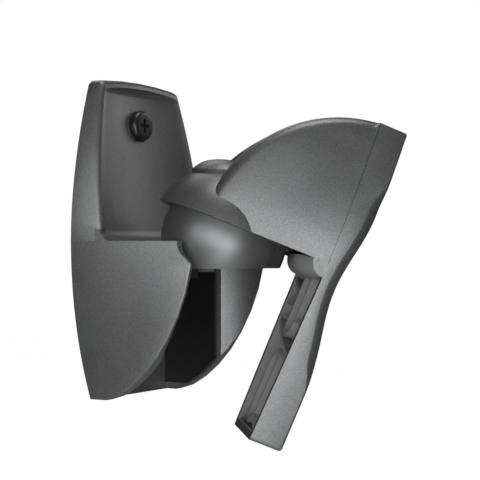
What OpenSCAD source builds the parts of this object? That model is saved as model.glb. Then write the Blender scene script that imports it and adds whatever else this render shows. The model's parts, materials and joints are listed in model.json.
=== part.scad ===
// Speaker wall bracket: a moulded wall part with a hollow keel, a turning ball
// and a tilting hood that carries a ribbed speaker plate.
// X is right, Y points into the wall, Z is up.
// The origin is the upper screw's axis in the wall plane.

/* [Pose] */
// Turn of the arm away from straight ahead, in degrees
turn = 41; // [-40:1:41]
// Forward tilt of the arm, in degrees
tilt = 22; // [0:1:22]

/* [Wall part] */
// Height of the plate's top corners above the ball's centre
plate_up = 50; // [46:0.2:56]
// Depth of the plate's bottom corners below the ball's centre
plate_down = 51.3; // [49:0.2:56]
// Half width of the plate at its widest level
plate_half_w = 30.3; // [29:0.1:33]
// Half width of the plate at its top corners
top_half_w = 21.3; // [18:0.1:23]
// Half width of the plate at its bottom corners
bottom_half_w = 20.9; // [20:0.1:23]
// Thickness of the plate at its top edge
plate_t_top = 4.6; // [4:0.1:6]
// Thickness of the plate at the shelf
plate_t_shelf = 10.6; // [9:0.1:12]
// Radius of the plate's front edges
plate_edge_r = 2; // [1.5:0.1:2.6]
// Depth of the shallow dish in the plate's face
dish_depth = 2.8; // [1:0.1:3]
// Width of the raised rim around the dish
rim_w = 1.5; // [1:0.1:2.4]
// Height of the upper wall screw above the ball's centre
screw_up = 37.1; // [34:0.1:40]
// Depth of the lower wall screw below the ball's centre
screw_down = 27; // [24:0.5:30]

/* [Keel] */
// Half width of the keel at its front edge
keel_half_w = 21.3; // [20.6:0.1:21.6]
// Reach of the keel from the wall
keel_reach = 39.5; // [38.5:0.1:42]
// Reach of the shelf's corner from the wall
shelf_reach = 35.3; // [34:0.1:37]
// Height of the curved notch under the shelf's corner
notch_h = 8.4; // [7:0.1:9]
// Half width of the hollow between the keel's cheeks
hollow_half_w = 17; // [16:0.1:17.2]
// Clearance between the ball and the well that it turns in
well_gap = 1.7; // [1.2:0.1:2]
// Thickness of the back wall in the hollow
back_wall_t = 2.4; // [2:0.1:4]
// Thickness of the shelf
shelf_t = 8.4; // [8:0.1:8.8]
// Thickness of the black insert's side walls
liner_t = 1.2; // [0.8:0.1:1.4]
// Thickness of the insert's roof under the shelf
roof_t = 1.6; // [1.2:0.1:2]

/* [Ball] */
// Distance of the ball's centre from the wall
ball_reach = 35.5; // [35:0.1:36.5]
// Outer radius of the ball
ball_r = 18.5; // [18:0.1:18.8]
// Wall thickness of the ball
ball_wall = 2.4; // [2:0.1:2.8]
// Distance of the ball's flat underside below its centre
ball_cut = 9.5; // [9.2:0.1:9.8]
// Outer radius of the cap on the front of the ball
cap_r = 21.4; // [20.8:0.1:21.6]
// Half width of the cap
cap_half_w = 8; // [6:0.5:10]

/* [Turn fitting] */
// Radius of the turn screw's shank
turn_screw_r = 2.5; // [2:0.1:3]
// Thickness of the seat tongue inside the ball
tongue_t = 6; // [5.6:0.1:6.4]
// Radius of the seat tongue's round end
tongue_r = 11; // [10:0.1:11.4]
// Half width of the seat tongue's neck
neck_half_w = 3.5; // [3:0.1:4]
// Thickness of the neck that passes below the ball's rim
neck_t = 3.2; // [2.8:0.1:3.6]
// Thickness of the floor inside the ball
floor_t = 3; // [2.6:0.1:3.4]

/* [Hood] */
// Outer radius of the dome over the ball
dome_r = 22.4; // [22:0.1:22.8]
// Height of the hood's lower edge above the ball's centre
hood_edge_up = 4.2; // [3.8:0.1:4.6]
// Distance from the ball's centre to the seam with the speaker plate
seam_reach = 31; // [30:0.1:33]
// Radius of the hood's arch
arch_r = 45.2; // [44:0.1:46.5]
// Wall thickness of the hood
hood_wall = 2.2; // [1.8:0.1:2.6]
// Radius of the arch's rounded edge
hood_edge_r = 1.8; // [1:0.1:2]
// Share by which the hood narrows from the seam back to the ball's centre
hood_taper_share = 0.12; // [0.08:0.01:0.14]
// Outer radius of the clamp boss on the dome
boss_top_r = 24.9; // [24.4:0.1:25.4]
// Angle of the clamp screw behind the hood's upright, in degrees
clamp_back = 6; // [4:1:12]
// Radius of the clamp screw's shank
clamp_screw_r = 2.5; // [2:0.1:3]

/* [Speaker plate] */
// Height of the speaker plate's top above the ball's centre
face_up = 50.6; // [49:0.2:54]
// Depth of the speaker plate's bottom corners below the ball's centre
face_down = 52.4; // [49:0.2:56]
// Largest half width of the speaker plate
face_half_w = 23.2; // [22:0.1:24.4]
// Half width of the speaker plate at its top
face_top_half_w = 18.4; // [16:0.1:20]
// Half width of the speaker plate at its bottom
face_bottom_half_w = 17.3; // [15:0.1:19]
// Thickness of the speaker plate
face_t = 9.2; // [8:0.1:11]
// Depth of the waist scooped out of its front
waist_depth = 3.4; // [2.4:0.1:4]
// Amount by which its back leans at the bottom
back_lean = 1.5; // [0:0.1:2]
// Wall thickness of the speaker plate
face_wall = 2.4; // [1.8:0.1:2.6]
// Thickness of its ribs
rib_t = 1.6; // [1.2:0.1:2]
// Width of the screw slots
slot_w = 5.2; // [4:0.1:6]
// Length of the screw slots
slot_l = 22; // [16:1:24]

/* [Hidden] */
$fn = 64;

// Overrun of every cut past the face that it opens
over = 0.5;
// Running gap between pieces that slide on each other
slide_gap = 0.3;
// Gap between a bore and the shank in it
bore_gap = 0.08;
// Thickness of the thin slabs that a blend starts from
slab = 0.4;
anthracite = "#4b4c4f";
black = "#17181a";

// Wall part, worked out from the sizes above
top_rise = 1.3;
upper_power = 1.8;
lower_power = 2.1;
keel_power = 1.6;
notch_power = 1.35;
keel_root = 0.53;
curve_steps = 10;
shelf_z = -1;
shelf_bottom_z = shelf_z - shelf_t;
well_r = ball_r + well_gap;
liner_face_x = hollow_half_w - liner_t;
cheek_power = 1.6;
lip_r = 1;
side_draft_share = 0.2;
corner_r = 1.2;
fillet_r = 3.6;
keel_curve_top = 5;
screw_bore_r = 2.5;
slope_z = plate_up - shelf_z;
dish_at_screw = 3;
spot_r = 5.4;
rim_fillet_r = 2;

// Turn fitting, stacked upwards from the ball's flat underside
tongue_z = -ball_cut + 0.2 * slide_gap;
tongue_top_z = tongue_z + tongue_t;
head_h = 3;
head_r = 4.5;
spring_t = 1;
pocket_h = head_h + spring_t;
pocket_r = head_r + 1.5;
disc_t = 0.8;
washer_t = 0.8;
washer_r = 5.5;
nut_h = 4;
nut_r = 4.6;
floor_z = tongue_top_z + disc_t;
turn_play = 1;
rim_in_r = sqrt(pow(ball_r - ball_wall, 2) - pow(ball_cut, 2));
neck_rise_t = 2;

// Clamp fitting, measured outwards from the ball's centre
dome_in_r = ball_r + slide_gap;
clamp_seat_r = dome_r - 0.9;
clamp_head_h = 2.2;
clamp_head_r = 4.2;
ball_in_r = ball_r - ball_wall;
saddle_t = 2.2;
saddle_r = 7;
clamp_nut_h = 3.6;
tilt_max = 22;
arch_reach = seam_reach + 5;
arch_z = 5.8;
hood_taper_power = 2.4;
face_upper_power = 1.8;
face_lower_power = 1.3;
dome_front = 8;
band_back = 15.3;
band_foot_w = 13;
band_foot_u = 9;
band_top_w = 7;
lip_reach = 7.4;
lip_flat_share = 0.72;
foot_run = 3;
foot_drop = 3.6;

// Screws between the hood and the plate: places as (x, height) in the arm's frame
boss_r = 3.2;
boss_l = 6;
boss_depth = 5.4;
rib_recess = 0.4;
face_corner_r = 3;
face_drop = 2;
lean_top = -2;
slot_places = [-36, 24];
cross_u = -17;
cross_drop = 6.5;
cross_top_u = -6;
upper_ribs_u = [6, 34];
lower_ribs_u = [-48, -36];
small_screw_r = 1.4;
small_head_r = 2.6;
small_head_h = 1.8;
boss_places = [[-18, 11], [18, 11], [-15, 41], [15, 41]];
insert_screw_places = [-10.5, 10.5];
insert_screw_reach = 9;
insert_bore_l = 5;

// Colour and place helpers

// Moves a piece to the level of the ball's centre
module at_ball_level() {
    translate([0, 0, -screw_up]) children();
}

// Frame of the ball: forward is -Y, turned with the ball
module ball_frame() {
    at_ball_level() translate([0, -ball_reach, 0]) rotate([0, 0, turn]) children();
}

// Frame of the arm: the ball's frame, tilted forward
module arm_frame() {
    ball_frame() rotate([tilt, 0, 0]) children();
}

// Extrudes a profile of (reach, height) points sideways, centred on X
module side_extrude(width) {
    rotate([90, 0, -90]) linear_extrude(width, center = true) children();
}

// Extrudes a front view of (x, z) points from reach a to reach b
module front_extrude(a, b) {
    translate([0, -a, 0]) rotate([90, 0, 0]) linear_extrude(b - a) children();
}

// Half width of the wall outline at height z
function wall_half_w(z) = z > 0
    ? plate_half_w - (plate_half_w - top_half_w) * pow(z / plate_up, upper_power)
    : plate_half_w - (plate_half_w - bottom_half_w) * pow(-z / plate_down, lower_power);

// Thickness of the upper plate at height z
function plate_t(z) = plate_t_shelf + (plate_t_top - plate_t_shelf) * (z - shelf_z) / slope_z;

// Heights of the outline's points from the shelf up and from the shelf down
upper_z = [for (i = [0 : curve_steps]) shelf_z + (plate_up - shelf_z) * i / curve_steps];
lower_z = [for (i = [0 : curve_steps]) shelf_z - (plate_down + shelf_z) * i / curve_steps];

// Rise of the arched top edge at x
function top_z(x) = plate_up + top_rise * (1 - pow(x / top_half_w, 2));

// Reach of the keel's front edge at height z
function keel_d(z) = let (v = max(0, -z - keel_curve_top) / (plate_down - keel_curve_top + over))
    keel_reach * pow(max(0, 1 - pow(v, keel_power)), keel_root);

// Wall part

// Upper plate: a convex blend from the wall outline to the sloping front face
module upper_plate_body() {
    r = plate_edge_r;
    rows = [for (z = upper_z) min(z, plate_up - corner_r)];
    hull() {
        front_extrude(0, slab)
            polygon(concat(
                [for (z = rows) [wall_half_w(z), z]],
                [for (i = [0 : 4]) let (x = (top_half_w - corner_r) * (1 - i / 2)) [x, top_z(x)]],
                [for (i = [0 : curve_steps]) let (z = rows[curve_steps - i]) [-wall_half_w(z), z]]));
        for (side = [-1, 1])
            for (i = [0 : curve_steps])
                let (z = min(upper_z[i], plate_up - r), t = plate_t(z))
                    translate([side * (wall_half_w(z) - side_draft_share * t - r), r - t, z])
                        sphere(r, $fn = 24);
        for (i = [-2 : 2])
            let (x = i * (top_half_w - corner_r - r) / 2)
                translate([x, r - plate_t_top, top_z(x) - r]) sphere(r, $fn = 24);
    }
}

// Sideways and forward run of a fillet of radius r at height h above its floor
function fillet_run(h, r) = h < r ? r - sqrt(pow(r, 2) - pow(r - max(h, 0), 2)) : 0;

// Levels of the dish from the shelf to its top edge
dish_top = plate_up - rim_w;
dish_levels = concat(
    [for (a = [0 : 18 : 90]) shelf_z + fillet_r * (1 - cos(a))],
    [for (i = [1 : 6]) shelf_z + fillet_r + (dish_top - rim_fillet_r - fillet_r - shelf_z) * i / 6],
    [for (a = [30 : 30 : 90]) dish_top - rim_fillet_r * (1 - sin(a))]);

// Cut that leaves the dished face, its raised rim and the fillet down to the shelf
module face_dish() {
    n = 8;
    thin = slab / 8;
    hull() {
        for (z = dish_levels)
            let (e = fillet_run(z - shelf_z, fillet_r) + fillet_run(dish_top - z, rim_fillet_r),
                w = wall_half_w(z) - side_draft_share * plate_t(z) - rim_w - e,
                d = plate_t(z) + e)
                translate([0, 0, z])
                    linear_extrude(thin)
                        polygon(concat(
                            [for (k = [-n : n]) [w * k / n, dish_depth * (1 - pow(k / n, 2)) - d]],
                            [[w, -2 * keel_reach], [-w, -2 * keel_reach]]));
        // Arched top of the dish
        for (k = [-2 : 2])
            let (x = k * top_half_w / 3)
                translate([x, -2 * keel_reach, dish_top + top_z(x) - top_z(top_half_w)])
                    cube([thin, 2 * keel_reach - plate_t_top - rim_fillet_r, thin]);
    }
}

// Half width of the cheeks at height z, a share of the way from the wall to their front edge
function cheek_w(z, share) =
    wall_half_w(z) - (wall_half_w(z) - keel_half_w) * pow(share, cheek_power);

// Keel: a convex blend from the wall outline to the curved front edges
module keel_body() {
    thin = slab / 8;
    hull() {
        front_extrude(0, slab)
            polygon(concat(
                [for (z = lower_z) [wall_half_w(z), z]],
                [for (i = [0 : curve_steps])
                    let (z = lower_z[curve_steps - i]) [-wall_half_w(z), z]]));
        for (i = [0 : curve_steps])
            let (z = shelf_z - (plate_down + shelf_z) * sin(90 * i / curve_steps), d = keel_d(z)) {
                for (share = [0.25, 0.5, 0.75])
                    let (w = cheek_w(z, share))
                        translate([-w, -share * d, max(z, lip_r - plate_down) - thin])
                            cube([2 * w, thin, thin]);
                for (side = [-1, 1])
                    let (zc = min(shelf_z - lip_r, max(z, lip_r - plate_down)))
                        translate([side * (keel_half_w - lip_r), lip_r - d, zc])
                            sphere(lip_r, $fn = 16);
            }
        translate([-keel_half_w, -keel_d(shelf_z), shelf_z - thin])
            cube([2 * keel_half_w, keel_d(shelf_z), thin]);
    }
}

// Curved notch at the shelf's corner, cut right across
module shelf_notch() {
    side_extrude(2 * plate_half_w)
        polygon(concat(
            [for (i = [0 : curve_steps])
                let (s = i / curve_steps)
                    [shelf_reach + (keel_reach - shelf_reach) * (1 - cos(180 * pow(s, notch_power))) / 2,
                        shelf_z - notch_h * s]],
            [[keel_reach + over, shelf_z - notch_h], [keel_reach + over, shelf_z + over],
                [shelf_reach, shelf_z + over]]));
}

// Concave fillet from the plate's face forward to the shelf
module shelf_fillet() {
    face_d = plate_t_shelf;
    n = 6;
    intersection() {
        side_extrude(2 * plate_half_w)
            difference() {
                polygon([[face_d - plate_edge_r, shelf_z - over],
                    [face_d - plate_edge_r, shelf_z + fillet_r],
                    [face_d, shelf_z + fillet_r],
                    [face_d + fillet_r, shelf_z], [face_d + fillet_r, shelf_z - over]]);
                translate([face_d + fillet_r, shelf_z + fillet_r]) circle(fillet_r);
            }
        // Cheeks' plan outline at the shelf
        translate([0, 0, -over])
            linear_extrude(4 * fillet_r, center = true)
                polygon(concat(
                    [for (i = [0 : n]) [cheek_w(shelf_z, i / n) - slab, -keel_reach * i / n]],
                    [for (i = [0 : n]) let (s = 1 - i / n)
                        [slab - cheek_w(shelf_z, s), -keel_reach * s]]));
    }
}

// Tongue inside the ball that carries the turn screw, on a neck below the ball's rim
module seat_tongue() {
    riser_y = rim_in_r - slide_gap;
    translate([0, -ball_reach, tongue_z])
        linear_extrude(tongue_t) {
            circle(tongue_r);
            translate([-neck_half_w, 0]) square([2 * neck_half_w, riser_y]);
        }
    translate([-neck_half_w, riser_y - neck_rise_t - ball_reach, -ball_cut - slide_gap - neck_t])
        cube([2 * neck_half_w, ball_reach - back_wall_t - slide_gap - riser_y + neck_rise_t,
            neck_t]);
    // Riser through the rim's plane
    translate([-neck_half_w, riser_y - neck_rise_t - ball_reach, -ball_cut - slide_gap - over])
        cube([2 * neck_half_w, neck_rise_t, tongue_t / 2]);
}

module wall_bracket() {
    color(anthracite) at_ball_level()
        difference() {
            union() {
                difference() {
                    union() {
                        upper_plate_body();
                        shelf_fillet();
                    }
                    face_dish();
                }
                keel_body();
            }
            shelf_notch();
            // Well around the ball
            translate([0, -ball_reach, -plate_down - over])
                cylinder(h = plate_down + over + screw_up, r = well_r);
            // Hollow between the cheeks, open at the front and the bottom
            translate([-hollow_half_w, -ball_reach, -plate_down - over])
                cube([2 * hollow_half_w, ball_reach - back_wall_t,
                    plate_down + over + shelf_bottom_z]);
            // Spot face below the upper screw's head
            translate([0, -plate_t(screw_up) - fillet_r + dish_at_screw, screw_up])
                rotate([-90, 0, 0])
                    cylinder(h = fillet_r, r = spot_r);
            // Bores of the wall screws
            for (z = [screw_up, -screw_down])
                translate([0, over, z]) rotate([90, 0, 0])
                    cylinder(h = plate_t_shelf + 2 * over, r = screw_bore_r);
            // Blind bores for the insert's screws
            for (x = insert_screw_places)
                translate([x, -insert_screw_reach, shelf_bottom_z - over])
                    cylinder(h = insert_bore_l + over, r = small_screw_r + bore_gap);
        }
}

// Black insert: liners along the cheeks, a roof under the shelf and the ball's seat
module keel_insert() {
    gap = slide_gap / 2;
    top = shelf_bottom_z - gap;
    foot = -plate_down + back_wall_t;
    half_w = hollow_half_w - gap;
    color(black) at_ball_level()
        difference() {
            union() {
                for (side = [-1, 1])
                    translate([side * (half_w - liner_t / 2), 0, 0])
                        side_extrude(liner_t)
                            intersection() {
                                polygon(concat([[back_wall_t + gap, top]],
                                    [for (i = [0 : curve_steps])
                                        let (z = top + (foot - top) * i / curve_steps)
                                            [keel_d(z) - slide_gap, z]],
                                    [[back_wall_t + gap, foot]]));
                                translate([0, foot]) square([liner_front(), top - foot]);
                            }
                difference() {
                    translate([-half_w, -liner_front(), top - roof_t])
                        cube([2 * half_w, liner_front() - back_wall_t - gap, roof_t]);
                    translate([0, -ball_reach, top - roof_t - over])
                        cylinder(h = roof_t + 2 * over, r = well_r);
                }
                seat_tongue();
            }
            // Turn screw's bore and the pocket for its head
            translate([0, -ball_reach, tongue_z - over])
                cylinder(h = tongue_t + 2 * over, r = turn_screw_r + bore_gap);
            translate([0, -ball_reach, tongue_z - over])
                cylinder(h = pocket_h + over, r = pocket_r);
            // Bores of the insert's screws
            for (x = insert_screw_places)
                translate([x, -insert_screw_reach, top - roof_t - over])
                    cylinder(h = roof_t + 2 * over, r = small_screw_r + bore_gap);
        }
}

// Pan head screw up through the insert's roof into the shelf
module insert_screw(x) {
    under = shelf_bottom_z - slide_gap / 2 - roof_t;
    color(black) at_ball_level() translate([x, -insert_screw_reach, under]) {
        cylinder(h = roof_t + insert_bore_l - over, r = small_screw_r);
        translate([0, 0, -small_head_h]) cylinder(h = small_head_h, r = small_head_r);
    }
}

module insert_screw_left() { insert_screw(insert_screw_places[0]); }
module insert_screw_right() { insert_screw(insert_screw_places[1]); }

// Reach of the liner's front edge, where the hollow meets the well
function liner_front() = ball_reach - sqrt(pow(well_r, 2) - pow(liner_face_x, 2));

// Pan head screw in the wall: head towards -Y, thread into the wall
module wall_screw(face_d) {
    wall_head_r = 5;
    wall_head_h = 2.7;
    flat_share = 0.74;
    rim_share = 0.55;
    shank_r = 1.8;
    thread_r = 2.1;
    in_wall = 18;
    run_out = 0.5;
    recess_r = 2.3;
    recess_t = 1.1;
    step = 15;
    rotate([90, 0, 0])
        difference() {
            union() {
                translate([0, 0, -in_wall]) cylinder(h = in_wall - run_out, r = thread_r);
                translate([0, 0, -in_wall]) cylinder(h = in_wall + face_d + slab, r = shank_r);
                translate([0, 0, face_d])
                    rotate_extrude()
                        polygon(concat([[0, 0], [wall_head_r, 0]],
                            [for (a = [0 : step : 90])
                                [wall_head_r * (flat_share + (1 - flat_share) * cos(a)),
                                    wall_head_h * (rim_share + (1 - rim_share) * sin(a))]],
                            [[0, wall_head_h]]));
            }
            for (a = [0, 90])
                translate([0, 0, face_d + wall_head_h])
                    rotate([0, 0, a])
                        cube([2 * recess_r, recess_t, wall_head_h], center = true);
        }
}

module upper_wall_screw() {
    color(black) wall_screw(plate_t(screw_up) - dish_at_screw);
}

module lower_wall_screw() {
    color(black) translate([0, 0, -screw_up - screw_down]) wall_screw(back_wall_t);
}

// Turn fitting

module turn_screw() {
    socket_r = 2;
    color(black) at_ball_level() translate([0, -ball_reach, tongue_z])
        difference() {
            union() {
                cylinder(h = head_h, r = head_r);
                cylinder(h = tongue_t + disc_t + floor_t + washer_t + nut_h + slab, r = turn_screw_r);
            }
            translate([0, 0, -over]) cylinder(h = head_h / 2 + over, r = socket_r, $fn = 6);
        }
}

module turn_spring_washer() {
    color(black) at_ball_level() translate([0, -ball_reach, tongue_z + head_h])
        difference() {
            cylinder(h = spring_t, r = head_r);
            translate([0, 0, -over]) cylinder(h = spring_t + 2 * over, r = turn_screw_r + bore_gap);
            translate([0, -spring_t / 4, -over])
                cube([2 * head_r, spring_t / 2, spring_t + 2 * over]);
        }
}

module ring(h, r, bore) {
    difference() {
        cylinder(h = h, r = r);
        translate([0, 0, -over]) cylinder(h = h + 2 * over, r = bore);
    }
}

module turn_friction_disc() {
    color(black) at_ball_level() translate([0, -ball_reach, tongue_top_z])
        ring(disc_t, tongue_r - turn_play, turn_screw_r + bore_gap);
}

module turn_washer() {
    color(black) at_ball_level() translate([0, -ball_reach, floor_z + floor_t])
        ring(washer_t, washer_r, turn_screw_r + bore_gap);
}

module turn_nut() {
    color(black) at_ball_level() translate([0, -ball_reach, floor_z + floor_t + washer_t])
        difference() {
            cylinder(h = nut_h, r = nut_r, $fn = 6);
            translate([0, 0, -over]) cylinder(h = nut_h + 2 * over, r = turn_screw_r + bore_gap / 2);
        }
}

// Ball

module ball_shell() {
    color(anthracite) ball_frame()
        difference() {
            union() {
                difference() {
                    sphere(ball_r, $fn = 96);
                    sphere(ball_in_r, $fn = 96);
                }
                // Floor that turns on the tongue
                intersection() {
                    sphere(ball_in_r + slab, $fn = 96);
                    translate([0, 0, floor_z]) cylinder(h = floor_t, r = ball_r);
                }
            }
            // Flat underside
            translate([-2 * ball_r, -2 * ball_r, -3 * ball_r - ball_cut])
                cube([4 * ball_r, 4 * ball_r, 3 * ball_r]);
            // Turn screw's bore
            translate([0, 0, floor_z - over])
                cylinder(h = floor_t + 2 * over, r = turn_screw_r + bore_gap);
            // Curved slot for the clamp screw
            clamp_slot();
        }
}

// Slot through the top of the ball, swept by the clamp screw as the arm tilts
module clamp_slot() {
    slot_half = clamp_screw_r + slide_gap;
    a0 = -clamp_back - turn_play;
    a1 = tilt_max - clamp_back + turn_play;
    intersection() {
        side_extrude(2 * slot_half)
            polygon([[0, 0],
                [2 * ball_r * sin(a0 - 8), 2 * ball_r * cos(a0 - 8)],
                [2 * ball_r * sin((a0 + a1) / 2), 3 * ball_r],
                [2 * ball_r * sin(a1 + 8), 2 * ball_r * cos(a1 + 8)]]);
        translate([0, 0, ball_in_r / 2]) cylinder(h = ball_r, r = ball_r);
    }
}

module front_cap() {
    color(black) ball_frame()
        intersection() {
            difference() {
                sphere(cap_r, $fn = 96);
                sphere(ball_r + slide_gap / 10, $fn = 96);
            }
            translate([-cap_half_w, -2 * cap_r, -ball_cut])
                cube([2 * cap_half_w, 2 * cap_r - ball_r / 2, ball_cut + hood_edge_up - 1]);
        }
}

// Hood

// Half width of the speaker plate at height u
function face_w(u) = let (m = 12)
    u > m
        ? face_half_w - (face_half_w - face_top_half_w) * pow((u - m) / (face_up - m), face_upper_power)
        : face_half_w - (face_half_w - face_bottom_half_w) * pow((m - u) / (face_down + m), face_lower_power);

// Half width of the hood at reach f and height u
function hood_w(f, u) =
    face_w(u) * (1 - hood_taper_share * pow(max(0, 1 - f / seam_reach), hood_taper_power));

// Height of the hood's arch at reach f
function arch_u(f) = arch_z + sqrt(pow(arch_r, 2) - pow(arch_reach - f, 2));

// Convex body of the hood, moved in by an inset
module hood_body(inset) {
    r = hood_edge_r;
    a0 = asin((hood_edge_up - arch_z) / arch_r);
    a1 = acos((arch_reach - seam_reach + r) / (arch_r - inset - r));
    steps = 14;
    rows = 4;
    thin = slab / 8;
    rim_top = arch_z + sqrt(pow(arch_r, 2) - pow(arch_reach - seam_reach, 2));
    rim_u = [for (i = [0 : steps]) hood_edge_up + (rim_top - hood_edge_up) * i / steps];
    hull() {
        for (side = [-1, 1])
            for (i = [0 : steps])
                let (a = a0 + (a1 - a0) * i / steps, rr = arch_r - inset - r,
                    f = arch_reach - rr * cos(a), u = arch_z + rr * sin(a))
                    translate([side * (hood_w(f, u) - inset - r), -f, u])
                        sphere(r, $fn = 20);
        // Bulge of the side walls
        for (f = [for (k = [-1 : 6]) seam_reach * k / 8])
            for (j = [0 : rows])
                let (top = arch_u(f) - inset - 2 * r, u = hood_edge_up + (top - hood_edge_up) * j / rows,
                    w = hood_w(f, u) - inset)
                    translate([-w, -f, u]) cube([2 * w, thin, thin]);
        front_extrude(seam_reach - slab, seam_reach)
            polygon(concat(
                [for (u = rim_u) [face_w(u) - inset, min(u, face_up - inset)]],
                [for (i = [0 : steps]) let (u = rim_u[steps - i])
                    [-(face_w(u) - inset), min(u, face_up - inset)]]));
    }
}

module hood() {
    lip_half_w = face_half_w - hood_wall / 2;
    color(anthracite) arm_frame()
        difference() {
            union() {
                difference() {
                    union() {
                        difference() {
                            hood_body(0);
                            hood_body(hood_wall);
                            // Open seam side
                            front_extrude(seam_reach - 2 * slab, seam_reach + over)
                                polygon(rim_points(hood_wall));
                        }
                        // Screw bosses at the seam
                        for (place = boss_places)
                            front_extrude(seam_reach - boss_l, seam_reach)
                                translate(place) circle(boss_r);
                        // Dome over the ball
                        intersection() {
                            sphere(dome_r, $fn = 96);
                            translate([-dome_r, -dome_front, 0])
                                cube([2 * dome_r, 2 * dome_r, 2 * dome_r]);
                        }
                        // Raised band for the clamp screw, over the top of the dome
                        intersection() {
                            sphere(boss_top_r, $fn = 96);
                            front_extrude(-band_back, dome_front)
                                polygon([[-band_foot_w, band_foot_u], [-band_top_w, dome_r + over],
                                    [-band_top_w, boss_top_r], [band_top_w, boss_top_r],
                                    [band_top_w, dome_r + over], [band_foot_w, band_foot_u]]);
                        }
                    }
                    // Flat lower edge
                    translate([-2 * face_half_w, -2 * seam_reach, -2 * dome_r + hood_edge_up])
                        cube([4 * face_half_w, 4 * seam_reach, 2 * dome_r]);
                }
                // Curled lip under the seam, between the side walls
                side_extrude(2 * lip_half_w)
                    intersection() {
                        translate([seam_reach, hood_edge_up])
                            scale([1, lip_flat_share])
                                difference() {
                                    circle(lip_reach);
                                    circle(lip_reach - hood_wall);
                                }
                        translate([seam_reach - 2 * lip_reach, hood_edge_up - 2 * lip_reach])
                            square([2 * lip_reach, 2 * lip_reach + over]);
                    }
                // Feet of the side walls, curved down to the plate
                for (side = [-1, 1])
                    translate([side * (face_w(0) - hood_wall / 2), 0, 0])
                        side_extrude(hood_wall)
                            difference() {
                                translate([seam_reach - foot_run, hood_edge_up - foot_drop])
                                    square([foot_run, foot_drop + over]);
                                translate([seam_reach - foot_run, hood_edge_up - foot_drop])
                                    circle(foot_run - over);
                            }
            }
            // Room for the small screws' heads
            for (place = boss_places)
                front_extrude(seam_reach - 3 * boss_l, seam_reach - boss_l)
                    translate(place) circle(small_head_r + slide_gap);
            // Bores through the bosses
            for (place = boss_places)
                front_extrude(seam_reach - boss_l - over, seam_reach + over)
                    translate(place) circle(small_screw_r + bore_gap);
            // Ball's room
            sphere(dome_in_r, $fn = 96);
            // Clamp screw's bore and the pocket for its head
            rotate([-clamp_back, 0, 0]) {
                cylinder(h = 2 * dome_r, r = clamp_screw_r + bore_gap);
                translate([0, 0, clamp_seat_r]) cylinder(h = dome_r, r = clamp_head_r + slide_gap);
            }
        }
}

// Rim of the hood and the plate, moved in by an inset
function rim_points(inset) = let (n = 9, h = face_up - hood_edge_up)
    concat(
        [for (i = [0 : n]) let (u = hood_edge_up - over + (h + over - inset) * i / n)
            [face_w(u) - inset, u]],
        [for (i = [0 : n]) let (u = hood_edge_up - over + (h + over - inset) * (n - i) / n)
            [inset - face_w(u), u]]);

// Clamp fitting

module clamp_frame() {
    arm_frame() rotate([-clamp_back, 0, 0]) children();
}

module clamp_screw() {
    socket_r = 2.2;
    low = ball_in_r - saddle_t - clamp_nut_h - slab;
    color(black) clamp_frame()
        difference() {
            union() {
                translate([0, 0, low]) cylinder(h = clamp_seat_r + washer_t - low, r = clamp_screw_r);
                translate([0, 0, clamp_seat_r + washer_t])
                    cylinder(h = clamp_head_h, r = clamp_head_r);
            }
            translate([0, 0, clamp_seat_r + washer_t + clamp_head_h / 2])
                cylinder(h = clamp_head_h, r = socket_r, $fn = 6);
        }
}

module clamp_washer() {
    color(black) clamp_frame() translate([0, 0, clamp_seat_r])
        ring(washer_t, clamp_head_r, clamp_screw_r + bore_gap);
}

// Saddle that bears on the inside of the ball
module clamp_saddle() {
    color(black) clamp_frame()
        difference() {
            intersection() {
                sphere(ball_in_r - slide_gap, $fn = 96);
                translate([0, 0, ball_in_r - slide_gap - saddle_t])
                    cylinder(h = ball_r, r = saddle_r);
            }
            cylinder(h = ball_r, r = clamp_screw_r + bore_gap);
        }
}

module clamp_nut() {
    color(black) clamp_frame()
        translate([0, 0, ball_in_r - slide_gap - saddle_t - clamp_nut_h])
            difference() {
                cylinder(h = clamp_nut_h, r = nut_r, $fn = 6);
                translate([0, 0, -over])
                    cylinder(h = clamp_nut_h + 2 * over, r = clamp_screw_r + bore_gap / 2);
            }
}

// Speaker plate

// Outline of the speaker plate in its front view, moved in by an inset
module face_outline(inset) {
    n = 14;
    us = [for (i = [0 : n])
        let (lo = inset - face_down + face_corner_r)
            lo + (face_up - inset - lo) * i / n];
    side = [for (u = us) [face_w(u) - inset, u]];
    // Rounded lower corners and the shallow curve of the bottom edge
    foot = [for (a = [0 : 15 : 90])
        [face_bottom_half_w - inset - face_corner_r * (1 - cos(a)),
            inset - face_down + face_corner_r * (1 - sin(a))]];
    belly = [for (i = [-3 : 3]) let (share = i / 4)
        [share * (face_bottom_half_w - face_corner_r),
            inset - face_down - face_drop * (1 - pow(share, 2))]];
    right = concat([for (p = belly) if (p[0] >= 0) p], [for (i = [6 : -1 : 0]) foot[i]], side);
    n_right = len(right);
    polygon(concat(right, [for (i = [n_right - 1 : -1 : 1]) [-right[i][0], right[i][1]]]));
}

// Reach of the plate's front face at height u
function face_f(u) = let (c = -3, h = 27, v = abs(u - c) / h)
    seam_reach + face_t - (v < 1 ? waist_depth * (1 + cos(180 * v)) / 2 : 0);

// Side profile of the plate, its front face moved in by an inset
module face_profile(inset) {
    n = 24;
    lo = -face_down - 2 * face_wall;
    polygon(concat(
        [[seam_reach - back_lean, lo]],
        [for (i = [0 : n]) let (u = lo + (face_up - lo) * i / n) [face_f(u) - inset, u]],
        [[seam_reach, face_up], [seam_reach, lean_top]]));
}

module rib(x0, u0, x1, u1) {
    l = sqrt(pow(x1 - x0, 2) + pow(u1 - u0, 2));
    translate([x0, u0]) rotate([0, 0, atan2(u1 - u0, x1 - x0)])
        translate([0, -rib_t / 2]) square([l, rib_t]);
}

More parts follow.
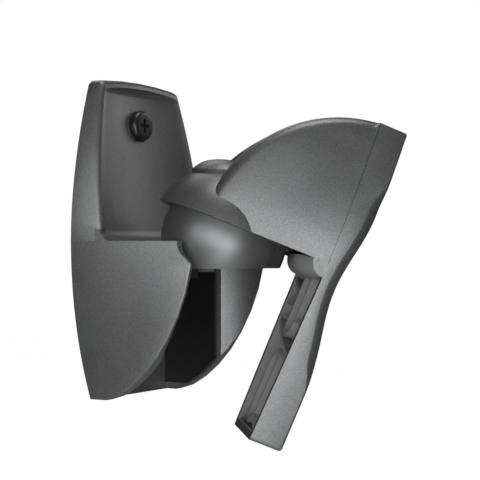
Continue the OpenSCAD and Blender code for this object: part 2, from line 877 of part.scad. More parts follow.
module racetrack(w, l) {
    for (s = [-1, 1])
        translate([0, s * (l - w) / 2]) circle(w / 2, $fn = 32);
    square([w, l - w], center = true);
}

// Rails on both sides of the slots and the ribs between them and the rim
module face_ribs() {
    rail_x = slot_w / 2 + rib_t / 2;
    for (s = [-1, 1]) {
        rib(s * rail_x, -face_down - face_drop, s * rail_x, face_up);
        rib(s * rail_x, cross_u, s * face_half_w, cross_u);
        rib(s * rail_x, cross_u - cross_drop, s * face_half_w, cross_u);
        rib(s * rail_x, cross_top_u, s * face_half_w, cross_top_u - cross_drop);
        for (u = upper_ribs_u)
            rib(s * rail_x, u, s * face_half_w, u + cross_drop);
        for (u = lower_ribs_u)
            rib(s * rail_x, u, s * face_half_w, u + cross_drop);
    }
}

module speaker_plate() {
    back = seam_reach - back_lean;
    front = seam_reach + face_t;
    color(anthracite) arm_frame()
        difference() {
            union() {
                difference() {
                    intersection() {
                        front_extrude(back, front) face_outline(0);
                        side_extrude(3 * face_half_w) face_profile(0);
                    }
                    intersection() {
                        front_extrude(back - over, front) face_outline(face_wall);
                        translate([0, over, 0]) side_extrude(3 * face_half_w) face_profile(face_wall - over);
                    }
                }
                intersection() {
                    front_extrude(back, front)
                        intersection() {
                            face_outline(face_wall / 2);
                            face_ribs();
                        }
                    translate([0, -rib_recess, 0])
                        side_extrude(3 * face_half_w) face_profile(face_wall / 2 + rib_recess);
                }
                // Screw bosses
                intersection() {
                    for (place = boss_places)
                        front_extrude(seam_reach, front)
                            translate(place) circle(boss_r);
                    side_extrude(3 * face_half_w) face_profile(face_wall / 2);
                }
            }
            for (place = boss_places)
                front_extrude(seam_reach - over, seam_reach + boss_depth)
                    translate(place) circle(small_screw_r + bore_gap);
            // Slots right through
            for (c = slot_places)
                front_extrude(back - over, front + over)
                    translate([0, c]) racetrack(slot_w, slot_l);
        }
}

// Pan head screw from the hood's boss into the plate's boss
module plate_screw(place) {
    color(black) arm_frame() translate([place[0], -seam_reach, place[1]]) rotate([90, 0, 0]) {
        translate([0, 0, -boss_l]) cylinder(h = boss_l + boss_depth - over, r = small_screw_r);
        translate([0, 0, -boss_l - small_head_h]) cylinder(h = small_head_h, r = small_head_r);
    }
}

module plate_screw_1() { plate_screw(boss_places[0]); }
module plate_screw_2() { plate_screw(boss_places[1]); }
module plate_screw_3() { plate_screw(boss_places[2]); }
module plate_screw_4() { plate_screw(boss_places[3]); }

wall_bracket();
keel_insert();
insert_screw_left();
insert_screw_right();
upper_wall_screw();
lower_wall_screw();
turn_screw();
turn_spring_washer();
turn_friction_disc();
turn_washer();
turn_nut();
ball_shell();
front_cap();
hood();
clamp_screw();
clamp_washer();
clamp_saddle();
clamp_nut();
speaker_plate();
plate_screw_1();
plate_screw_2();
plate_screw_3();
plate_screw_4();
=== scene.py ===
"""Studio picture of a speaker wall bracket, built on its CAD frame."""
import json
import math
import bmesh
import bpy
import numpy as np
from mathutils import Matrix, Vector


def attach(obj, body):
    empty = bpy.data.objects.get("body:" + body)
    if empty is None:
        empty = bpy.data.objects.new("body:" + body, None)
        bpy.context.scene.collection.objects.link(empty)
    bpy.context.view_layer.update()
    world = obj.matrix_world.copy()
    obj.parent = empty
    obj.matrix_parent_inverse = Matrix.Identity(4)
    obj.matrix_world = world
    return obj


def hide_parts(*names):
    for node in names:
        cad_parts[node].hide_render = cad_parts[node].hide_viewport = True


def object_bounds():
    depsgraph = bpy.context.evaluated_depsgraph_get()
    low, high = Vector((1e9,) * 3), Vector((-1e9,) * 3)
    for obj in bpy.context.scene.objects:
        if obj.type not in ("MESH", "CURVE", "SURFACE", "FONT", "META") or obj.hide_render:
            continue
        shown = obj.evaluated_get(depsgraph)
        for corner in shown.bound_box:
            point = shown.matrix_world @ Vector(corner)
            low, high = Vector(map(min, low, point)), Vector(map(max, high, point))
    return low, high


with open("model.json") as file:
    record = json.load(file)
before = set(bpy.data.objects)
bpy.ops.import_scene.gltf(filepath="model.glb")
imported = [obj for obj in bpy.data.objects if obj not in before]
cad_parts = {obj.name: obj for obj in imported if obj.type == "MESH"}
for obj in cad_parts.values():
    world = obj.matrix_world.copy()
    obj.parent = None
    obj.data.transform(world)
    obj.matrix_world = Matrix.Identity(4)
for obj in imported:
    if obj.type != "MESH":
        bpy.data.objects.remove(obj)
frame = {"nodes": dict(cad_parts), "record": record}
CAD_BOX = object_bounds()

MM = 0.001
scene = bpy.context.scene
scene.view_settings.view_transform = "Standard"


# Materials: one small class wraps a node socket, so that values are written as sums

class Field:
    """A shader value: a number or a node's output, with the usual operators."""

    def __init__(self, tree, value=None):
        self.tree = tree
        self.value = value

    def node(self, kind, out=0, props=None, **inputs):
        """A new node of this kind: inputs by name or _number, out is the output used."""
        n = self.tree.nodes.new(kind)
        for k, v in (props or {}).items():
            setattr(n, k, v)
        for k, v in inputs.items():
            self.link(v, n.inputs[int(k[1:]) if k[0] == "_" else k.replace("_", " ")])
        return Field(self.tree, n.outputs[out])

    def link(self, value, socket):
        """Feeds a socket from a field, or sets it where the value is a constant."""
        value = value.value if isinstance(value, Field) else value
        if isinstance(value, bpy.types.NodeSocket):
            self.tree.links.new(value, socket)
        else:
            socket.default_value = value

    def math(self, op, *args):
        return self.node("ShaderNodeMath", props={"operation": op},
                         **{"_%d" % i: a for i, a in enumerate(args)})

    def __add__(self, o):
        return self.math("ADD", self, o)

    def __sub__(self, o):
        return self.math("SUBTRACT", self, o)

    def __rsub__(self, o):
        return self.math("SUBTRACT", o, self)

    def __mul__(self, o):
        return self.math("MULTIPLY", self, o)

    __radd__ = __add__
    __rmul__ = __mul__

    def ramp(self, lo, hi, a=0.0, b=1.0):
        """Smooth step: a below lo, b above hi."""
        return self.node("ShaderNodeMapRange", props={"interpolation_type": "SMOOTHSTEP"},
                         _0=self, _1=lo, _2=hi, _3=a, _4=b)

    def mix(self, a, b):
        """Colour a where this is 0, colour b where it is 1."""
        return self.node("ShaderNodeMix", out=2, props={"data_type": "RGBA"},
                         _0=self, _6=a, _7=b)


def rgb(v, warm=0.0):
    """Grey of linear value v, a little warm or cool."""
    return (v * (1 + warm), v, v * (1 - warm), 1.0)


WHITE = rgb(1.0)
COOL = -0.015
GRAIN_DEPTH = 0.05


def material(name, base, rough, specular=0.5, metal=0.0, bump=0.0, size=0.4, recipe=None):
    """A plastic or metal with a fine grain; recipe may feed its sockets from fields."""
    m = bpy.data.materials.new(name)
    m.use_nodes = True
    tree = m.node_tree
    bsdf = tree.nodes["Principled BSDF"]
    bsdf.inputs["Base Color"].default_value = base
    bsdf.inputs["Roughness"].default_value = rough
    bsdf.inputs["Specular IOR Level"].default_value = specular
    bsdf.inputs["Metallic"].default_value = metal
    here = Field(tree).node("ShaderNodeTexCoord", out="Object")
    grain = here.node("ShaderNodeTexNoise", Vector=here, Scale=1 / (size * MM), Detail=2.0)
    normal = here.node("ShaderNodeBump", Height=grain, Strength=bump, Distance=GRAIN_DEPTH * MM)
    here.link(normal, bsdf.inputs["Normal"])
    if recipe:
        recipe(here, bsdf)
    return m


def anthracite_recipe(here, bsdf):
    """Slight drift of tone over the powder-fine texture."""
    drift = here.node("ShaderNodeTexNoise", Vector=here, Scale=60.0, Detail=3.0)
    speck = here.node("ShaderNodeTexNoise", Vector=here, Scale=2600.0, Detail=1.0)
    tone = drift.ramp(0.3, 0.7, 0.35, 0.65) * 0.5 + speck.ramp(0.3, 0.7) * 0.5
    here.link(tone.mix(rgb(0.10, COOL), rgb(0.19, COOL)), bsdf.inputs["Base Color"])
    here.link(drift.ramp(0.3, 0.7, 0.40, 0.46), bsdf.inputs["Roughness"])


ANTHRACITE = material("anthracite", rgb(0.14), 0.47, metal=0.75, bump=0.5, size=0.45,
                      recipe=anthracite_recipe)
SATIN = material("satin anthracite", rgb(0.15, COOL), 0.42, metal=0.75, bump=0.08, size=0.3)
BLACK_PLASTIC = material("black plastic", rgb(0.006), 0.42, specular=0.35, bump=0.15, size=0.6)
BLACK_STEEL = material("black steel", rgb(0.008), 0.35, bump=0.2, size=0.5)
BARE_STEEL = material("bare steel", rgb(0.45), 0.32, metal=1.0, bump=0.15, size=0.3)
# A lighter, non-metallic grey for the plate's pocket, its ribs and the hood's lip: painted light,
# so these hollows show lighter than the outside's finish would in their shade.
PAINTED_LIGHT_GREY = material("painted light grey", rgb(0.26, -0.01), 0.6, specular=0.4, bump=0.3, size=0.5)
# The front cap is black plastic; this copy is darker and duller than the other black plastic,
# painted shade for the hood's shadow over it.
CAP_SHADED_BLACK = material("cap black, painted shade", rgb(0.004), 0.5, specular=0.15, bump=0.1, size=0.5)

FINISH = {"anthracite": ANTHRACITE, "black_plastic": BLACK_PLASTIC,
          "black_steel": BLACK_STEEL, "bare_steel": BARE_STEEL}
OWN_FINISH = {"ball_shell": SATIN, "front_cap": CAP_SHADED_BLACK}


# CAD nodes: their finishes, and smooth shading over the fine facets

CURVED_MOULDINGS = ("wall_bracket", "hood", "speaker_plate")
WELD_GAP = 0.002
FLAT_DEG = 0.5
CAD_EDGE_DEG = 25.0


def split_edges(o, degrees):
    """Smooth shading that stops at the edges over this angle."""
    split = o.modifiers.new("edges", "EDGE_SPLIT")
    split.split_angle = math.radians(degrees)
    split.use_edge_sharp = False


def soften(o):
    """Smooth shading over the facets of a CAD node; flat runs of facets become one face."""
    o.data.polygons.foreach_set("use_smooth", np.ones(len(o.data.polygons), dtype=bool))
    weld = o.modifiers.new("weld", "WELD")
    weld.merge_threshold = WELD_GAP * MM
    if o.name in CURVED_MOULDINGS:
        flat = o.modifiers.new("flat", "DECIMATE")
        flat.decimate_type = "DISSOLVE"
        flat.angle_limit = math.radians(FLAT_DEG)
    split_edges(o, CAD_EDGE_DEG)


for part in frame["record"]["subparts"]:
    node = frame["nodes"][part["node"]]
    if not node.data.materials:
        node.data.materials.append(None)
    for slot in node.material_slots:
        slot.material = OWN_FINISH.get(part["node"], FINISH[part["material_slot"]])
    soften(node)


# Pieces of the arm: grids of points from formulas, in mm from the ball's centre, with
# x to the side, f forward and u up along the arm. The record's tilt joint gives the place:
# its axis is turned about Z, and the arm rests tilted forward by its whole range

JOINT = next(j for j in frame["record"]["behaviour"]["joints"] if j["name"] == "tilt")
BALL = Vector(JOINT["pos_m"])
TURN = math.atan2(JOINT["axis"][1], JOINT["axis"][0])
TILT = math.radians(-JOINT["range_deg"][0])
MERGE_GAP, SLIVER = 0.004, 0.002
EDGE_DEG = 32.0


def arm(x, f, u):
    """Arm frame (side, forward, up) to the row frame: tilt about X, then turn about Z."""
    x, f, u = np.broadcast_arrays(*(np.asarray(v, float) for v in (x, f, u)))
    y = -f * math.cos(TILT) - u * math.sin(TILT)
    z = -f * math.sin(TILT) + u * math.cos(TILT)
    turned = [x * math.cos(TURN) - y * math.sin(TURN), x * math.sin(TURN) + y * math.cos(TURN), z]
    return np.stack(turned, -1) + np.array(BALL) / MM


def surface(name, grids):
    """A linked object from grids of points, (rows, columns, 3), each with its columns closed
    or open. Doubles are merged, slivers dropped and the normals turned outwards."""
    verts, faces, start = [], [], 0
    for grid, closed in grids:
        m, n = grid.shape[:2]
        verts.append(grid.reshape(-1, 3))
        i, j = np.meshgrid(np.arange(m - 1), np.arange(n if closed else n - 1), indexing="ij")
        k = (j + 1) % n
        quads = np.stack([i * n + j, i * n + k, (i + 1) * n + k, (i + 1) * n + j], -1)
        faces.append(quads.reshape(-1, 4) + start)
        start += m * n
    verts, faces = np.concatenate(verts) * MM, np.concatenate(faces)
    mesh = bpy.data.meshes.new(name)
    mesh.from_pydata(verts.tolist(), [], faces.tolist())
    bm = bmesh.new()
    bm.from_mesh(mesh)
    bmesh.ops.remove_doubles(bm, verts=bm.verts, dist=MERGE_GAP * MM)
    bmesh.ops.dissolve_degenerate(bm, edges=bm.edges, dist=SLIVER * MM)
    bmesh.ops.recalc_face_normals(bm, faces=bm.faces)
    bm.to_mesh(mesh)
    bm.free()
    mesh.polygons.foreach_set("use_smooth", np.ones(len(mesh.polygons), dtype=bool))
    o = bpy.data.objects.new(name, mesh)
    scene.collection.objects.link(o)
    return o


def cut_away(o, cutter):
    """Takes a closed grid's body out of an object's mesh."""
    tool = surface("tool", [cutter])
    b = o.modifiers.new("cut", "BOOLEAN")
    b.object, b.operation, b.solver = tool, "DIFFERENCE", "EXACT"
    deps = bpy.context.evaluated_depsgraph_get()
    done = bpy.data.meshes.new_from_object(o.evaluated_get(deps))
    o.modifiers.clear()
    o.data = done
    bpy.data.objects.remove(tool)


def piece(name, grids, node, finish="anthracite", material=None, sharp=EDGE_DEG, cut=()):
    """A finished piece of the arm that shows (part of) a CAD node."""
    o = surface(name, grids)
    o.data.materials.append(material or FINISH[finish])
    for cutter in cut:
        cut_away(o, cutter)
    split_edges(o, sharp)
    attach(o, "arm")
    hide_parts(node)


def cap(ring):
    """Closes a ring of points with a fan to its middle: a grid of two rows."""
    return np.stack([ring, np.broadcast_to(ring.mean(0), ring.shape)])


def capped(rows):
    """A tube of rings with both its ends closed, as grids."""
    return [(rows, True), (cap(rows[0]), True), (cap(rows[-1]), True)]


def bore(low, high):
    """A closed cutter between two rings: one grid, pole to pole."""
    return np.concatenate([cap(low)[::-1], cap(high)]), True


def ease(share):
    """Smooth rise from 0 to 1: 3 s squared less 2 s cubed, held outside 0..1."""
    s = np.clip(share, 0, 1)
    return s * s * (3 - 2 * s)


# Speaker plate

PLATE_TOP, PLATE_FOOT = 50.6, -54.4
WIDEST_U, WIDEST = 12.0, 23.2
TOP_LOSS, TOP_RUN, TOP_POWER = 4.8, PLATE_TOP - WIDEST_U, 1.8
FOOT_LOSS, FOOT_RUN, FOOT_POWER = 5.9, 64.4, 1.3
FRONT_F = 40.2
WAIST, WAIST_U, WAIST_RUN = 3.4, -3.0, 27.0
SEAM_F = 31.0
LEAN, LEAN_U, LEAN_RUN = 1.5, -2.0, 55.0
FOOT_R = 1.2
TOP_HALF = WIDEST - TOP_LOSS
SPINE_FOOT, SPINE_TOP = -46.0, 44.0
BEVEL, BEVEL_LEAST = 3.6, 0.7
BEVEL_FOOT_U, BEVEL_FOOT_RUN = -35.0, 11.0
BEVEL_TOP_U, BEVEL_TOP_RUN = 34.0, 9.0
BEVEL_POWER = 1.4
PLATE_WALL = 2.4
SLOT_U, SLOT_HALF, SLOT_R = (-36.0, 24.0), 8.4, 2.6
SLOT_CUT_F = (25.0, 45.0)


def face_w(u):
    """Half width by height: widest at WIDEST_U, falling by a power above and below."""
    u = np.asarray(u, float)
    up = np.maximum((u - WIDEST_U) / TOP_RUN, 0) ** TOP_POWER
    down = np.maximum((WIDEST_U - u) / FOOT_RUN, 0) ** FOOT_POWER
    return WIDEST - TOP_LOSS * up - FOOT_LOSS * down


def face_f(u):
    """Reach of the front: a cosine waist round height WAIST_U."""
    v = np.clip(np.abs(np.asarray(u, float) - WAIST_U) / WAIST_RUN, 0, 1)
    return FRONT_F - WAIST * (1 + np.cos(np.pi * v)) / 2


def back_f(u):
    """Reach of the back rim: level above LEAN_U, leaning back by LEAN below it."""
    return SEAM_F - LEAN * np.clip((LEAN_U - np.asarray(u, float)) / LEAN_RUN, 0, 1)


def face_outline():
    """Front view: side curve, lower corner, level foot, all mirrored, and the top: (n, 2)."""
    corner_u = PLATE_FOOT + FOOT_R
    u = np.linspace(PLATE_TOP, corner_u, 46)
    side = np.stack([face_w(u), u], -1)
    a = np.radians(np.arange(15, 91, 15))
    foot = float(face_w(corner_u)) - FOOT_R
    corner = np.stack([foot + FOOT_R * np.cos(a), corner_u - FOOT_R * np.sin(a)], -1)
    level = np.stack([np.linspace(foot, 0, 8)[1:], np.full(7, PLATE_FOOT)], -1)
    right = np.concatenate([side, corner, level])
    left = right[-2::-1] * [-1, 1]
    top = np.stack([np.linspace(-TOP_HALF, TOP_HALF, 12)[1:-1], np.full(10, PLATE_TOP)], -1)
    return np.concatenate([right, left, top])


def edge_r(u):
    """Size of the front edge's bevel by height: it eases out at the foot and near the top."""
    u = np.asarray(u, float)
    low = ease((u - BEVEL_FOOT_U) / BEVEL_FOOT_RUN)
    top = ease((BEVEL_TOP_U - u) / BEVEL_TOP_RUN)
    return BEVEL_LEAST + (BEVEL - BEVEL_LEAST) * low * top


def inset(line, d):
    """A closed line moved in by d, one value per point, along its own normals."""
    t = np.roll(line, -1, 0) - np.roll(line, 1, 0)
    t /= np.linalg.norm(t, axis=1)[:, None]
    return line + d[:, None] * np.stack([t[:, 1], -t[:, 0]], -1)


def inner(line, d):
    """The pocket's line: the outline drawn in by d, across by the width, level at the ends."""
    x = line[:, 0] * (1 - d / face_w(line[:, 1]))
    return np.stack([x, np.clip(line[:, 1], PLATE_FOOT + d, PLATE_TOP - d)], -1)


def racetrack(c, half, r, n=12):
    """Closed path round a slot: two half circles of radius r, their centres +-half from c."""
    a = np.linspace(0, np.pi, n)
    top = np.stack([r * np.cos(a), c + half + r * np.sin(a)], -1)
    low = np.stack([-r * np.cos(a), c - half - r * np.sin(a)], -1)
    return np.concatenate([top, low])


OUTLINE = face_outline()
SPINE = np.stack([0 * OUTLINE[:, 0], np.clip(OUTLINE[:, 1], SPINE_FOOT, SPINE_TOP)], -1)


def ring(line, f):
    """A line of (x, u) points set at reach f."""
    return arm(line[:, 0], f, line[:, 1])


def towards(line, share):
    """A line drawn in to the plate's spine: share 1 is the line, 0 is the spine."""
    return SPINE + (line - SPINE) * share


def floor_f(line):
    """Reach of the pocket's floor under a line."""
    return face_f(line[:, 1]) - PLATE_WALL


def speaker_plate_shell(slots):
    """Rings from the middle of the front over the bevel and the side to the pocket's floor.
    The bevel is a superellipse: cosine and sine to the power BEVEL_POWER."""
    rings = []
    r = edge_r(OUTLINE[:, 1])
    for share in (0.0, 0.3, 0.6, 0.85):
        q = towards(inset(OUTLINE, r), share)
        rings.append(ring(q, face_f(q[:, 1])))
    for a in np.radians(np.arange(90, -1, -15)):
        q = inset(OUTLINE, r * (1 - max(math.cos(a), 0.0) ** BEVEL_POWER))
        rings.append(ring(q, face_f(q[:, 1]) - r * (1 - math.sin(a) ** BEVEL_POWER)))
    pocket = inner(OUTLINE, PLATE_WALL)
    rings += [ring(q, back_f(q[:, 1])) for q in (OUTLINE, pocket)]
    for share in (1, 0.7, 0.35, 0.0):
        q = towards(pocket, share)
        rings.append(ring(q, floor_f(q)))
    piece("speaker_plate_shell", [(np.array(rings), True)], "speaker_plate", cut=slots)


SKIN_GAP, SKIN_T, SKIN_RECESS = 0.03, 0.4, 0.12


def speaker_plate_pocket(slots):
    """Skin of the pocket in the lighter grey that is painted light: down its wall and over its
    floor, and back inside it.
    """
    outer, inside = (inner(OUTLINE, PLATE_WALL + d) for d in (SKIN_GAP, SKIN_T))
    rim = [ring(q, back_f(q[:, 1]) + SKIN_RECESS) for q in (outer, inside)]
    under = [towards(outer, share) for share in (1, 0.5, 0)]
    over = [towards(inside, share) for share in (0, 0.5, 1)]
    rings = ([rim[0]] + [ring(q, floor_f(q) - SKIN_GAP) for q in under]
             + [ring(q, floor_f(q) - SKIN_T) for q in over] + [rim[1], rim[0]])
    piece("speaker_plate_pocket", [(np.array(rings), True)], "speaker_plate",
          material=PAINTED_LIGHT_GREY, cut=slots)


RAIL_X, RAIL_T, RIB_T = 5.6, 1.6, 1.4
RAIL_TOP_U, RAIL_LOW_U, RAIL_END_U = 44.0, -14.5, -15.0
TRACK_U, TRACK_HALF, TRACK_R = -38.0, 6.8, 5.2
RIB_RECESS, RIB_FOOT = 0.4, 2.0
TUBE_R, TUBE_T, TUBES = 2.3, 1.8, ((18, 11), (15, 41))
# Ribs from (x, u) to (x, u) with a bow; the far side's are seen, the near side's mirror them
FAR_RIBS = ((21, -1.5, RAIL_X, -6.2, 0), (20.5, -10.6, RAIL_X, -6.2, 0),
            (20, -15.6, -19.5, -27, -1.6))
RIB_PAIRS = ((20, -15.2, RAIL_X, -15.2, 0), (22, 8, RAIL_X, 14, 0), (21, 26, RAIL_X, 14, 0),
             (20, 34, RAIL_X, 40, 0), (16, -52, 4.6, -47.4, 0))


def rib_wall(path, thick, closed=False, recess=RIB_RECESS):
    """A thin wall standing on the plate's floor along a path of (x, u) points."""
    t = np.roll(path, -1, 0) - np.roll(path, 1, 0) if closed else np.gradient(path, axis=0)
    t /= np.linalg.norm(t, axis=1)[:, None]
    n = np.stack([-t[:, 1], t[:, 0]], -1) * thick / 2
    a, b = path + n, path - n
    lo, hi = back_f(path[:, 1]) + recess, face_f(path[:, 1]) - RIB_FOOT
    rows = np.stack([ring(a, lo), ring(b, lo), ring(b, hi), ring(a, hi)], 1)
    return [(np.concatenate([rows, rows[:1]]), True)] if closed else capped(rows)


def rib(x0, u0, x1, u1, bow):
    """A straight rib, or one bowed by half a sine wave."""
    k = np.linspace(0, 1, 14)
    path = np.stack([x0 + (x1 - x0) * k, u0 + (u1 - u0) * k + bow * np.sin(np.pi * k)], -1)
    return rib_wall(path, RIB_T)


def speaker_plate_ribs():
    """A U-shaped rail, a closed rail below it, the ribs and the screw tubes."""
    a = np.linspace(0, np.pi, 12)
    u = np.linspace(RAIL_TOP_U, RAIL_LOW_U, 14)
    leg = np.stack([0 * u + RAIL_X, u], -1)
    bend = np.stack([RAIL_X * np.cos(a), RAIL_END_U - RAIL_X * np.sin(a)], -1)
    walls = rib_wall(np.concatenate([leg, bend, leg[::-1] * [-1, 1]]), RAIL_T)
    walls += rib_wall(racetrack(TRACK_U, TRACK_HALF, TRACK_R), RAIL_T, closed=True)
    for ends in FAR_RIBS:
        walls += rib(*ends)
    for x0, u0, x1, u1, bow in RIB_PAIRS:
        walls += rib(x0, u0, x1, u1, bow) + rib(-x0, u0, -x1, u1, bow)
    b = np.linspace(0, 2 * np.pi, 20, endpoint=False)
    for side in (-1, 1):
        for x, u in TUBES:
            tube = np.stack([side * x + TUBE_R * np.cos(b), u + TUBE_R * np.sin(b)], -1)
            walls += rib_wall(tube, TUBE_T, closed=True, recess=0.0)
    # The ribs take the lighter grey that paints light into the pocket.
    piece("speaker_plate_ribs", walls, "speaker_plate", material=PAINTED_LIGHT_GREY)


slots = [bore(*(ring(racetrack(c, SLOT_HALF, SLOT_R), f) for f in SLOT_CUT_F)) for c in SLOT_U]
speaker_plate_shell(slots)
speaker_plate_pocket(slots)
speaker_plate_ribs()


# Hood

HOOD_U = 4.2
ARCH_F, ARCH_U, ARCH_R = 36.0, 5.8, 45.2
ARCH_FROM_DEG, ARCH_TO_DEG = -2.03, 83.65
HOOD_WALL, HOOD_EDGE_R, HOOD_IN_R = 2.2, 2.8, 1.6
TAPER_SHARE, TAPER_POWER = 0.12, 2.4
DOME_R, DOME_IN_R = 22.4, 18.8
POCKET_R, POCKET_LEAN_DEG, POCKET_FROM, POCKET_TO = 4.5, 6.0, 21.5, 46.0
BOSS_R, BOSS_RIM_R, BOSS_IN_R = 24.9, 23.5, 21.0
BOSS_LEAN_DEG, BOSS_EDGE_DEG = 17.8, 24.0
BOSS_DEG, BOSS_RIM_DEG, BOSS_RISE_DEG, BOSS_RUN_DEG = 27.0, 26.9, 26.3, 15.0


def thick(outer, inside):
    """A closed wall between two grids of the same shape: both sides and the four borders."""
    ends = [np.stack([outer[k], inside[k]]) for k in (0, -1)]
    ends += [np.stack([outer[:, k], inside[:, k]]) for k in (0, -1)]
    return [(g, False) for g in [outer, inside] + ends]


def lean(x, y, z, degrees):
    """Points leant back about the arm's side axis."""
    q = math.radians(degrees)
    return x, y * math.cos(q) - z * math.sin(q), y * math.sin(q) + z * math.cos(q)


def hood_w(f, u):
    """Half width of the hood: the plate's, drawn in towards the back by a power of the reach."""
    return face_w(u) * (1 - TAPER_SHARE * np.maximum(1 - f / SEAM_F, 0) ** TAPER_POWER)


def arch(depth, r):
    """Hood skin at a depth below the outside: rays from points of a circle to the arch's foot,
    cut at the seam; along each a flat side, a rounded edge of radius r and the roof."""
    rad = ARCH_R - depth
    t = np.radians(np.linspace(ARCH_FROM_DEG, ARCH_TO_DEG, 46))
    tip = np.stack([ARCH_F - rad * np.cos(t), np.maximum(HOOD_U, ARCH_U + rad * np.sin(t))], -1)
    back = np.array([ARCH_F, HOOD_U]) - tip
    back /= np.linalg.norm(back, axis=1)[:, None]
    reach = np.maximum((SEAM_F - tip[:, 0]) / back[:, 0], 0.0)[:, None]
    flat = r + (np.maximum(reach, r) - r) * np.linspace(1, 0, 12)
    b = np.radians(np.linspace(15, 90, 6))
    rounded = np.broadcast_to(r * (1 - np.sin(b)), (len(t), len(b)))
    along = np.minimum(np.concatenate([flat, rounded], 1), reach)
    tuck = np.concatenate([np.zeros(12), r * (1 - np.cos(b))])
    p = tip[:, None] + along[..., None] * back[:, None]
    x = hood_w(p[..., 0], p[..., 1]) - depth - tuck
    roof = x[:, -1:] * np.linspace(1, -1, 14)[1:-1]
    crest = np.broadcast_to(tip[:, None], (len(t), 12, 2))
    x = np.concatenate([-x, -roof, x[:, ::-1]], 1)
    p = np.concatenate([p, crest, p[:, ::-1]], 1)
    return arm(x, p[..., 0], p[..., 1])


def cap_of_ball(r, degrees, m=20, axis=0.0):
    """A sphere of radius r, or r(angle), out to this angle from an axis leant back."""
    t = np.radians(np.linspace(0, degrees, m))[:, None]
    s = np.linspace(0, 2 * np.pi, 48, endpoint=False)[None]
    rr = r(np.degrees(t)) if callable(r) else r + 0 * t
    across, up = rr * np.sin(t), rr * np.cos(t) + 0 * s
    return arm(*lean(across * np.cos(s), across * np.sin(s), up, axis))


def boss_r(t):
    """The boss's radius by angle: a step up at its rim, then a quarter sine to its top."""
    k = np.clip((BOSS_RISE_DEG - t) / BOSS_RUN_DEG, 0, 1)
    rise = (BOSS_R - BOSS_RIM_R) * np.sin(k * np.pi / 2)
    return np.where(t > BOSS_RIM_DEG, BOSS_IN_R, BOSS_RIM_R + rise)


def screw_pocket():
    """Cutter along the clamp screw's leant axis, from its seat out through the hood."""
    s = np.linspace(0, 2 * np.pi, 32, endpoint=False)
    x, y = POCKET_R * np.cos(s), POCKET_R * np.sin(s)
    return bore(*(arm(*lean(x, y, h, POCKET_LEAN_DEG)) for h in (POCKET_FROM, POCKET_TO)))


LIP_HALF, LIP_END, LIP_IN, LIP_F, LIP_U = 22.3, 22.2, 21.9, 7.3, 5.4
LIP_BOW_SHARE, LIP_END_SHARE, LIP_FLAT_SHARE = 0.38, 0.05, 0.6
TOE_F, TOE_U, TOE_TOP_U, TOE_R = 28.0, 0.6, 4.7, 2.5


def hood_lip():
    """The lip under the seam, a quarter ellipse that shrinks to its ends, and the two toes."""
    t = np.radians(np.linspace(0, 90, 14))
    x = np.concatenate([[-LIP_HALF, -LIP_END], np.linspace(-LIP_IN, LIP_IN, 17),
                        [LIP_END, LIP_HALF]])[:, None]
    k = 1 - LIP_BOW_SHARE * (x / LIP_HALF) ** 2 - LIP_END_SHARE * (np.abs(x) > LIP_END)
    seam = np.full(x.shape, SEAM_F)
    f = np.concatenate([SEAM_F - LIP_F * k * np.cos(t), seam], 1)
    drop = LIP_U * (LIP_FLAT_SHARE + (1 - LIP_FLAT_SHARE) * k)
    u = np.concatenate([HOOD_U - drop * np.sin(t), np.full(x.shape, HOOD_U)], 1)
    grids = capped(arm(x, f, u))
    a = np.radians(np.linspace(0, 90, 8))
    f = np.concatenate([[SEAM_F, SEAM_F], TOE_F + TOE_R * np.cos(a), [TOE_F]])
    u = np.concatenate([[TOE_TOP_U, TOE_U], TOE_U + TOE_R * np.sin(a), [TOE_TOP_U]])
    for side in (-1, 1):
        grids += capped(np.stack([arm(side * (face_w(u) - d), f, u) for d in (0, HOOD_WALL)]))
    # The lip and toes take the lighter grey that paints light under the hood.
    piece("hood_lip", grids, "hood", material=PAINTED_LIGHT_GREY)


LINE_HALF_T, LINE_U = 0.07, (4.0, 50.2)
LINE_PROUD_SHARE, LINE_DEEP_SHARE = 1.0012, 0.97


def seam_line():
    """Hairline shadow in the seam between the hood and the plate: a thin ribbon, just proud."""
    u = np.linspace(*LINE_U, 40)
    side = np.stack([face_w(u), u], -1)
    line = np.concatenate([side * [-1, 1], side[::-1]])
    lo, hi = SEAM_F - LINE_HALF_T, SEAM_F + LINE_HALF_T
    proud, deep = LINE_PROUD_SHARE, LINE_DEEP_SHARE
    rows = [arm(line[:, 0] * k, f, line[:, 1])
            for k, f in ((deep, lo), (proud, lo), (proud, hi), (deep, hi), (deep, lo))]
    piece("seam_line", [(np.array(rows), False)], "hood", finish="black_plastic")


def rim_deg(r):
    """The angle from the arm's up axis at which a sphere meets the hood's lower edge."""
    return math.degrees(math.acos(HOOD_U / r))


pocket = screw_pocket()
ball_room = (cap_of_ball(DOME_IN_R, 180, m=40), True)
piece("hood_skin", thick(arch(0.0, HOOD_EDGE_R), arch(HOOD_WALL, HOOD_IN_R)), "hood",
      cut=[ball_room, pocket])
dome, dome_in = (cap_of_ball(r, rim_deg(r), m=30) for r in (DOME_R, DOME_IN_R))
piece("hood_dome", [(dome, True), (dome_in, True), (np.stack([dome[-1], dome_in[-1]]), True)],
      "hood", cut=[pocket])
boss, boss_in = (cap_of_ball(r, BOSS_DEG, m=m, axis=BOSS_LEAN_DEG)
                 for r, m in ((boss_r, 46), (BOSS_IN_R, 4)))
piece("clamp_boss", [(boss, True), (boss_in, True)], "hood", cut=[pocket],
      sharp=BOSS_EDGE_DEG)
hood_lip()
seam_line()


# Camera: the photograph's own viewpoint, level with the keel's shelf

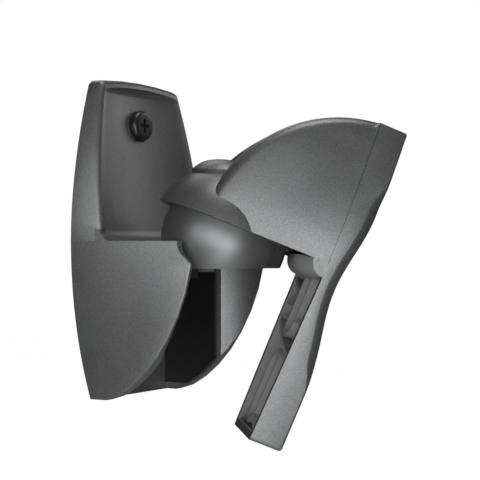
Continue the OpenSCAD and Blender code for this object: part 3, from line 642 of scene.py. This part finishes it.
AZ = math.radians(-56.884)
AHEAD = Vector((-math.sin(AZ), math.cos(AZ), 0.0))
RIGHT = Vector((math.cos(AZ), math.sin(AZ), 0.0))
EYE_Z, EYE_FAR = -39.69, 410.48
FOCAL_PX, SIZE_PX = 1234.6, 480
ORIGIN_PX = (131.04, 246.17)

cam = bpy.data.cameras.new("camera")
cam.sensor_width = 36.0
cam.lens = FOCAL_PX / SIZE_PX * cam.sensor_width
cam.shift_y = (ORIGIN_PX[1] - SIZE_PX / 2) / SIZE_PX
cam.clip_start = 0.01
camera = bpy.data.objects.new("camera", cam)
scene.collection.objects.link(camera)
scene.camera = camera
# The eye is moved sideways so that the origin's picture lands on its own place
EYE = (Vector((0.0, 0.0, EYE_Z)) * MM - AHEAD * (EYE_FAR * MM)
       + RIGHT * ((SIZE_PX / 2 - ORIGIN_PX[0]) / FOCAL_PX * EYE_FAR * MM))
camera.matrix_world = Matrix.Translation(EYE) @ Matrix((
    (RIGHT.x, 0.0, -AHEAD.x), (RIGHT.y, 0.0, -AHEAD.y), (0.0, 1.0, 0.0))).to_4x4()


# Stage: a pale floor well below the bracket, and a white surround

FLOOR_HALF, FLOOR_DROP = 4.0, 0.3505
floor_z = CAD_BOX[0][2] - FLOOR_DROP
corners = [(x * FLOOR_HALF, y * FLOOR_HALF, floor_z)
           for x, y in ((-1, -1), (1, -1), (1, 1), (-1, 1))]
floor_mesh = bpy.data.meshes.new("stage")
floor_mesh.from_pydata(corners, [], [(0, 1, 2, 3)])
floor = bpy.data.objects.new("stage", floor_mesh)
scene.collection.objects.link(floor)

floor_paint = bpy.data.materials.new("white")
floor_paint.use_nodes = True
floor_paint.node_tree.nodes.clear()
here = Field(floor_paint.node_tree)
paint = here.node("ShaderNodeBsdfDiffuse", Color=rgb(0.9))
glow = here.node("ShaderNodeEmission", Color=WHITE, Strength=0.95)
lit = here.node("ShaderNodeAddShader", _0=paint, _1=glow)
seen = here.node("ShaderNodeLightPath", out="Is Camera Ray")
look = here.node("ShaderNodeMixShader", _0=seen, _1=paint, _2=lit)
out = floor_paint.node_tree.nodes.new("ShaderNodeOutputMaterial")
here.link(look, out.inputs["Surface"])
floor_mesh.materials.append(floor_paint)

world = bpy.data.worlds.new("studio")
scene.world = world
world.use_nodes = True
world.node_tree.nodes.clear()
here = Field(world.node_tree)
dim = here.node("ShaderNodeBackground", Color=WHITE, Strength=0.05)
plain = here.node("ShaderNodeBackground", Color=WHITE, Strength=1.0)
seen = here.node("ShaderNodeLightPath", out="Is Camera Ray")
look = here.node("ShaderNodeMixShader", _0=seen, _1=dim, _2=plain)
out = world.node_tree.nodes.new("ShaderNodeOutputWorld")
here.link(look, out.inputs["Surface"])

# Soft area lamps that face the ball: ahead, right and up of it in mm, power, width, height
LAMPS = {"left": (-400, -330, 90, 0.55, 260, 220),
         "middle": (-500, -90, 10, 1.02, 260, 260),
         "key": (-480, 160, -110, 1.19, 260, 220),
         "top": (-40, 60, 450, 0.95, 240, 240),
         "right": (240, 330, 200, 0.27, 200, 200),
         "low": (-420, 20, -330, 0.42, 260, 220),
         "back": (300, -80, 380, 0.28, 220, 220)}
for name, (ahead, right, up, power, wide, high) in LAMPS.items():
    light = bpy.data.lights.new(name, "AREA")
    light.energy = power
    light.shape = "RECTANGLE"
    light.size, light.size_y = wide * MM, high * MM
    lamp = bpy.data.objects.new(name, light)
    scene.collection.objects.link(lamp)
    lamp.location = BALL + (AHEAD * ahead + RIGHT * right + Vector((0, 0, up))) * MM
    lamp.rotation_euler = (BALL - lamp.location).to_track_quat("-Z", "Y").to_euler()
